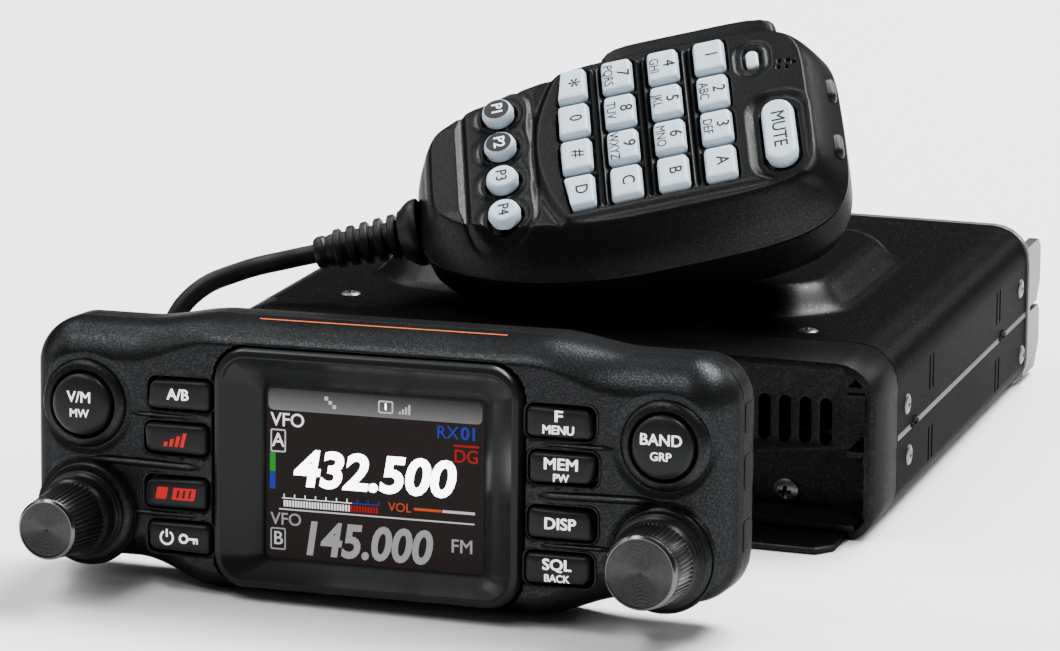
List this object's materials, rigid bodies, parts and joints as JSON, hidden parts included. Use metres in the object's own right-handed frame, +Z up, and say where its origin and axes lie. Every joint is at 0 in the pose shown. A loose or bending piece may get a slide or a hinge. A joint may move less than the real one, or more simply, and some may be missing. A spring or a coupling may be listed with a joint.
{
  "type": "mobile transceiver",
  "caption": "Mobile two-way radio: a low main unit with a raised top and rear heat sink, a separate control panel with colour display, keys and knobs, and a corded keypad hand microphone.",
  "frame": {"origin": "on the floor under the middle of the whole set, its cord left out", "axes": "+X to the right seen from the front of the display, +Y from the control panel back to the heat sink, +Z up"},
  "size_m": [0.1514, 0.2386, 0.0943],
  "materials": {
    "case_metal": "satin black enamel with a fine speckle",
    "cast_metal": "bare die casting",
    "case_plastic": "fine textured black moulding",
    "panel_plastic": "pebbled dark grey moulding",
    "bezel_plastic": "smooth satin black moulding",
    "display_glass": "clear window over a lit colour display",
    "key_plastic": "smooth black keys with white legends",
    "knob_plastic": "black knobs with fluted grips and spun caps",
    "mic_plastic": "finely speckled black moulding",
    "mic_key": "pale translucent backlit keys with dark legends",
    "cord_rubber": "smooth black sheath",
    "plug_plastic": "dark modular plug",
    "socket_plastic": "black moulding",
    "fan_plastic": "black moulding",
    "bright_metal": "nickel plated",
    "speaker_metal": "plated steel",
    "circuit_board": "green solder mask"
  },
  "bodies": {
    "unit": {"front_frame": "case_plastic", "top_cover": "case_metal", "bottom_cover": "case_metal", "chassis": "cast_metal", "main_board": "circuit_board", "microphone_jack": "socket_plastic", "speaker": "speaker_metal", "antenna_socket": "bright_metal", "power_inlet": "socket_plastic", "mic_cord": "cord_rubber", "mic_cord_coil": "cord_rubber", "mic_plug": "plug_plastic"},
    "fan": {"fan_rotor": "fan_plastic"},
    "controller": {"panel_front_case": "panel_plastic", "panel_rear_case": "panel_plastic", "display_bezel": "bezel_plastic", "display_window": "display_glass", "display_module": "speaker_metal", "control_board": "circuit_board"},
    "volume_knob": {"volume_knob": "knob_plastic"},
    "dial_knob": {"dial_knob": "knob_plastic"},
    "microphone": {"mic_front_case": "mic_plastic", "mic_rear_case": "mic_plastic", "mic_board": "circuit_board", "hanger_stud": "bright_metal", "cord_boot": "cord_rubber"},
    "talk_bar": {"talk_bar": "mic_plastic"},
    "mute_key": {"mute_key": "mic_key"},
    "up_button": {"up_button": "key_plastic"},
    "down_button": {"down_button": "key_plastic"},
    "band_select_key": {"band_select_key": "key_plastic"},
    "function_key": {"function_key": "key_plastic"},
    "group_monitor_key": {"group_monitor_key": "key_plastic"},
    "group_memory_key": {"group_memory_key": "key_plastic"},
    "digital_mode_key": {"digital_mode_key": "key_plastic"},
    "display_key": {"display_key": "key_plastic"},
    "power_key": {"power_key": "key_plastic"},
    "squelch_key": {"squelch_key": "key_plastic"},
    "memory_button": {"memory_button": "key_plastic"},
    "band_button": {"band_button": "key_plastic"},
    "pad_key_1": {"pad_key_1": "mic_key"},
    "pad_key_2": {"pad_key_2": "mic_key"},
    "pad_key_3": {"pad_key_3": "mic_key"},
    "pad_key_a": {"pad_key_a": "mic_key"},
    "pad_key_4": {"pad_key_4": "mic_key"},
    "pad_key_5": {"pad_key_5": "mic_key"},
    "pad_key_6": {"pad_key_6": "mic_key"},
    "pad_key_b": {"pad_key_b": "mic_key"},
    "pad_key_7": {"pad_key_7": "mic_key"},
    "pad_key_8": {"pad_key_8": "mic_key"},
    "pad_key_9": {"pad_key_9": "mic_key"},
    "pad_key_c": {"pad_key_c": "mic_key"},
    "pad_key_star": {"pad_key_star": "mic_key"},
    "pad_key_0": {"pad_key_0": "mic_key"},
    "pad_key_hash": {"pad_key_hash": "mic_key"},
    "pad_key_d": {"pad_key_d": "mic_key"},
    "preset_key_1": {"preset_key_1": "mic_key"},
    "preset_key_2": {"preset_key_2": "mic_key"},
    "preset_key_3": {"preset_key_3": "mic_key"},
    "preset_key_4": {"preset_key_4": "mic_key"}
  },
  "joints": [
    {"name": "fan_spin", "type": "hinge", "parent": "unit", "child": "fan", "pos_m": [0.00592, 0.10734, 0.0178], "axis": [0, 1, 0], "continuous": true},
    {"name": "controller_lift_off", "type": "slide", "parent": "unit", "child": "controller", "axis": [0, -1, 0], "range_m": [0, 0.06]},
    {"name": "microphone_lift_off", "type": "slide", "parent": "unit", "child": "microphone", "axis": [0, 0, 1], "range_m": [0, 0.06]},
    {"name": "volume_turn", "type": "hinge", "parent": "controller", "child": "volume_knob", "pos_m": [-0.06089, -0.10884, 0.01443], "axis": [0, -0.9973, 0.0732], "range_deg": [-140, 140]},
    {"name": "dial_turn", "type": "hinge", "parent": "controller", "child": "dial_knob", "pos_m": [0.05309, -0.1087, 0.01621], "axis": [0, -0.9973, 0.0732], "continuous": true},
    {"name": "band_select_key_press", "type": "slide", "parent": "controller", "child": "band_select_key", "axis": [0, 0.9973, -0.0732], "range_m": [0, 0.0008], "stiffness_N_per_m": 1500},
    {"name": "function_key_press", "type": "slide", "parent": "controller", "child": "function_key", "axis": [0, 0.9973, -0.0732], "range_m": [0, 0.0008], "stiffness_N_per_m": 1500},
    {"name": "group_monitor_key_press", "type": "slide", "parent": "controller", "child": "group_monitor_key", "axis": [0, 0.9973, -0.0732], "range_m": [0, 0.0008], "stiffness_N_per_m": 1500},
    {"name": "group_memory_key_press", "type": "slide", "parent": "controller", "child": "group_memory_key", "axis": [0, 0.9973, -0.0732], "range_m": [0, 0.0008], "stiffness_N_per_m": 1500},
    {"name": "digital_mode_key_press", "type": "slide", "parent": "controller", "child": "digital_mode_key", "axis": [0, 0.9973, -0.0732], "range_m": [0, 0.0008], "stiffness_N_per_m": 1500},
    {"name": "display_key_press", "type": "slide", "parent": "controller", "child": "display_key", "axis": [0, 0.9973, -0.0732], "range_m": [0, 0.0008], "stiffness_N_per_m": 1500},
    {"name": "power_key_press", "type": "slide", "parent": "controller", "child": "power_key", "axis": [0, 0.9973, -0.0732], "range_m": [0, 0.0008], "stiffness_N_per_m": 1500},
    {"name": "squelch_key_press", "type": "slide", "parent": "controller", "child": "squelch_key", "axis": [0, 0.9973, -0.0732], "range_m": [0, 0.0008], "stiffness_N_per_m": 1500},
    {"name": "memory_button_press", "type": "slide", "parent": "controller", "child": "memory_button", "axis": [0, 0.9973, -0.0732], "range_m": [0, 0.0008], "stiffness_N_per_m": 1500},
    {"name": "band_button_press", "type": "slide", "parent": "controller", "child": "band_button", "axis": [0, 0.9973, -0.0732], "range_m": [0, 0.0008], "stiffness_N_per_m": 1500},
    {"name": "talk_press", "type": "hinge", "parent": "microphone", "child": "talk_bar", "pos_m": [0.03447, 0.03046, 0.08915], "axis": [-0.0485, -0.5851, 0.8095], "range_deg": [0, 3], "stiffness_Nm_per_rad": 1},
    {"name": "up_button_press", "type": "slide", "parent": "microphone", "child": "up_button", "axis": [-0.9456, -0.234, -0.2258], "range_m": [0, 0.0007], "stiffness_N_per_m": 1500},
    {"name": "down_button_press", "type": "slide", "parent": "microphone", "child": "down_button", "axis": [-0.9456, -0.234, -0.2258], "range_m": [0, 0.0007], "stiffness_N_per_m": 1500},
    {"name": "mute_key_press", "type": "slide", "parent": "microphone", "child": "mute_key", "axis": [0.0485, 0.5851, -0.8095], "range_m": [0, 0.0008], "stiffness_N_per_m": 1200},
    {"name": "preset_key_1_press", "type": "slide", "parent": "microphone", "child": "preset_key_1", "axis": [0.0485, 0.5851, -0.8095], "range_m": [0, 0.0008], "stiffness_N_per_m": 1200},
    {"name": "preset_key_2_press", "type": "slide", "parent": "microphone", "child": "preset_key_2", "axis": [0.0485, 0.5851, -0.8095], "range_m": [0, 0.0008], "stiffness_N_per_m": 1200},
    {"name": "preset_key_3_press", "type": "slide", "parent": "microphone", "child": "preset_key_3", "axis": [0.0485, 0.5851, -0.8095], "range_m": [0, 0.0008], "stiffness_N_per_m": 1200},
    {"name": "preset_key_4_press", "type": "slide", "parent": "microphone", "child": "preset_key_4", "axis": [0.0485, 0.5851, -0.8095], "range_m": [0, 0.0008], "stiffness_N_per_m": 1200},
    {"name": "pad_key_1_press", "type": "slide", "parent": "microphone", "child": "pad_key_1", "axis": [0.0485, 0.5851, -0.8095], "range_m": [0, 0.0008], "stiffness_N_per_m": 1200},
    {"name": "pad_key_2_press", "type": "slide", "parent": "microphone", "child": "pad_key_2", "axis": [0.0485, 0.5851, -0.8095], "range_m": [0, 0.0008], "stiffness_N_per_m": 1200},
    {"name": "pad_key_3_press", "type": "slide", "parent": "microphone", "child": "pad_key_3", "axis": [0.0485, 0.5851, -0.8095], "range_m": [0, 0.0008], "stiffness_N_per_m": 1200},
    {"name": "pad_key_a_press", "type": "slide", "parent": "microphone", "child": "pad_key_a", "axis": [0.0485, 0.5851, -0.8095], "range_m": [0, 0.0008], "stiffness_N_per_m": 1200},
    {"name": "pad_key_4_press", "type": "slide", "parent": "microphone", "child": "pad_key_4", "axis": [0.0485, 0.5851, -0.8095], "range_m": [0, 0.0008], "stiffness_N_per_m": 1200},
    {"name": "pad_key_5_press", "type": "slide", "parent": "microphone", "child": "pad_key_5", "axis": [0.0485, 0.5851, -0.8095], "range_m": [0, 0.0008], "stiffness_N_per_m": 1200},
    {"name": "pad_key_6_press", "type": "slide", "parent": "microphone", "child": "pad_key_6", "axis": [0.0485, 0.5851, -0.8095], "range_m": [0, 0.0008], "stiffness_N_per_m": 1200},
    {"name": "pad_key_b_press", "type": "slide", "parent": "microphone", "child": "pad_key_b", "axis": [0.0485, 0.5851, -0.8095], "range_m": [0, 0.0008], "stiffness_N_per_m": 1200},
    {"name": "pad_key_7_press", "type": "slide", "parent": "microphone", "child": "pad_key_7", "axis": [0.0485, 0.5851, -0.8095], "range_m": [0, 0.0008], "stiffness_N_per_m": 1200},
    {"name": "pad_key_8_press", "type": "slide", "parent": "microphone", "child": "pad_key_8", "axis": [0.0485, 0.5851, -0.8095], "range_m": [0, 0.0008], "stiffness_N_per_m": 1200},
    {"name": "pad_key_9_press", "type": "slide", "parent": "microphone", "child": "pad_key_9", "axis": [0.0485, 0.5851, -0.8095], "range_m": [0, 0.0008], "stiffness_N_per_m": 1200},
    {"name": "pad_key_c_press", "type": "slide", "parent": "microphone", "child": "pad_key_c", "axis": [0.0485, 0.5851, -0.8095], "range_m": [0, 0.0008], "stiffness_N_per_m": 1200},
    {"name": "pad_key_star_press", "type": "slide", "parent": "microphone", "child": "pad_key_star", "axis": [0.0485, 0.5851, -0.8095], "range_m": [0, 0.0008], "stiffness_N_per_m": 1200},
    {"name": "pad_key_0_press", "type": "slide", "parent": "microphone", "child": "pad_key_0", "axis": [0.0485, 0.5851, -0.8095], "range_m": [0, 0.0008], "stiffness_N_per_m": 1200},
    {"name": "pad_key_hash_press", "type": "slide", "parent": "microphone", "child": "pad_key_hash", "axis": [0.0485, 0.5851, -0.8095], "range_m": [0, 0.0008], "stiffness_N_per_m": 1200},
    {"name": "pad_key_d_press", "type": "slide", "parent": "microphone", "child": "pad_key_d", "axis": [0.0485, 0.5851, -0.8095], "range_m": [0, 0.0008], "stiffness_N_per_m": 1200}
  ]
}
